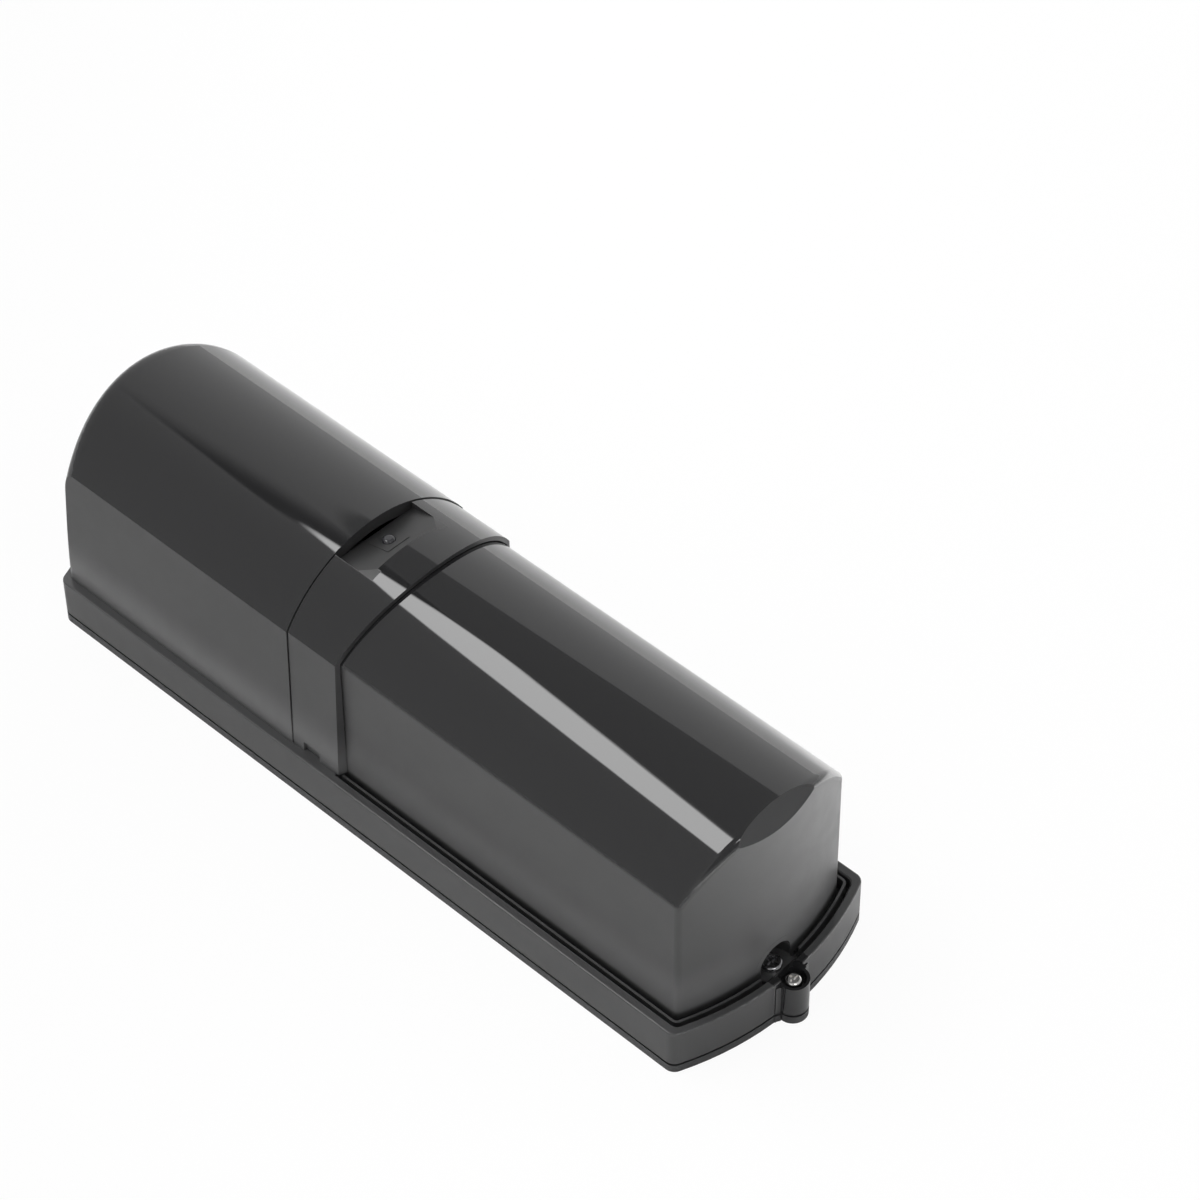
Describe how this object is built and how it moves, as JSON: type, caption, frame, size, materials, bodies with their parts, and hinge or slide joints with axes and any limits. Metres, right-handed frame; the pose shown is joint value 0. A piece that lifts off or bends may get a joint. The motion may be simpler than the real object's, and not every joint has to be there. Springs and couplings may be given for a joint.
{
  "type": "infrared beam detector",
  "caption": "Long black wall-mounted infrared beam detector with a fixed far hood, a removable near cover, a centre band and turning lens units inside.",
  "frame": {"origin": "middle of the mounting face, on the plate's back", "axes": "+X across the width, +Y along the length to the top of the mounted unit, +Z away from the wall"},
  "size_m": [0.079, 0.278, 0.0816],
  "materials": {
    "black_gloss": "polished black polycarbonate that passes infrared",
    "black_plate": "moulded black plastic, lightly textured",
    "seal_rubber": "black rubber",
    "black_screw": "black oxide steel",
    "bright_screw": "bright plated steel",
    "steel_screw": "zinc plated steel",
    "brass": "turned brass",
    "inner_plastic": "satin dark grey moulding",
    "barrel_plastic": "matt black inside and out",
    "lens_clear": "polished lens, dark red tint",
    "circuit_board": "green solder mask",
    "diode_clear": "clear moulded diode",
    "light_pipe": "smoked light pipe",
    "terminal_green": "green terminal moulding",
    "sight_mirror": "silvered mirror",
    "switch_black": "black switch housing",
    "plunger_white": "white plunger"
  },
  "bodies": {
    "housing": {"mounting_plate": "black_plate", "plate_gasket": "seal_rubber", "base_housing": "black_gloss", "centre_band": "black_gloss", "near_cover": "black_gloss", "cover_seal": "seal_rubber", "cover_screw": "black_screw", "cover_insert": "brass", "lock_screw": "bright_screw", "lock_insert": "brass", "housing_screws": "steel_screw", "status_light": "light_pipe", "indicator_board": "circuit_board", "sight_tower": "inner_plastic", "sight_mirrors": "sight_mirror", "chassis_rails": "inner_plastic", "chassis_plates": "inner_plastic", "near_bearing_posts": "inner_plastic", "far_bearing_posts": "inner_plastic", "chassis_screws": "steel_screw", "main_board": "circuit_board", "board_screws": "steel_screw", "terminal_block": "terminal_green", "terminal_screws": "steel_screw", "tamper_switch": "switch_black", "wire_grommet": "seal_rubber"},
    "near_yoke": {"near_pan_ring": "inner_plastic", "near_pivot_screws": "steel_screw"},
    "near_optic": {"near_lens_barrel": "barrel_plastic", "near_lens": "lens_clear", "near_emitter_board": "circuit_board", "near_emitter": "diode_clear"},
    "far_yoke": {"far_pan_ring": "inner_plastic", "far_pivot_screws": "steel_screw"},
    "far_optic": {"far_lens_barrel": "barrel_plastic", "far_lens": "lens_clear", "far_emitter_board": "circuit_board", "far_emitter": "diode_clear"},
    "tamper_button": {"tamper_plunger": "plunger_white"}
  },
  "joints": [
    {"name": "near_pan", "type": "hinge", "parent": "housing", "child": "near_yoke", "pos_m": [0, -0.036, 0.0403], "axis": [0, 1, 0], "range_deg": [-90, 90]},
    {"name": "near_tilt", "type": "hinge", "parent": "near_yoke", "child": "near_optic", "pos_m": [0, -0.036, 0.0403], "axis": [1, 0, 0], "range_deg": [-10, 10]},
    {"name": "far_pan", "type": "hinge", "parent": "housing", "child": "far_yoke", "pos_m": [0, 0.084, 0.0403], "axis": [0, 1, 0], "range_deg": [-90, 90]},
    {"name": "far_tilt", "type": "hinge", "parent": "far_yoke", "child": "far_optic", "pos_m": [0, 0.084, 0.0403], "axis": [1, 0, 0], "range_deg": [-10, 10]},
    {"name": "tamper_press", "type": "slide", "parent": "housing", "child": "tamper_button", "axis": [0, 0, -1], "range_m": [0, 0.0015], "stiffness_N_per_m": 150, "springref_m": -0.0015}
  ]
}
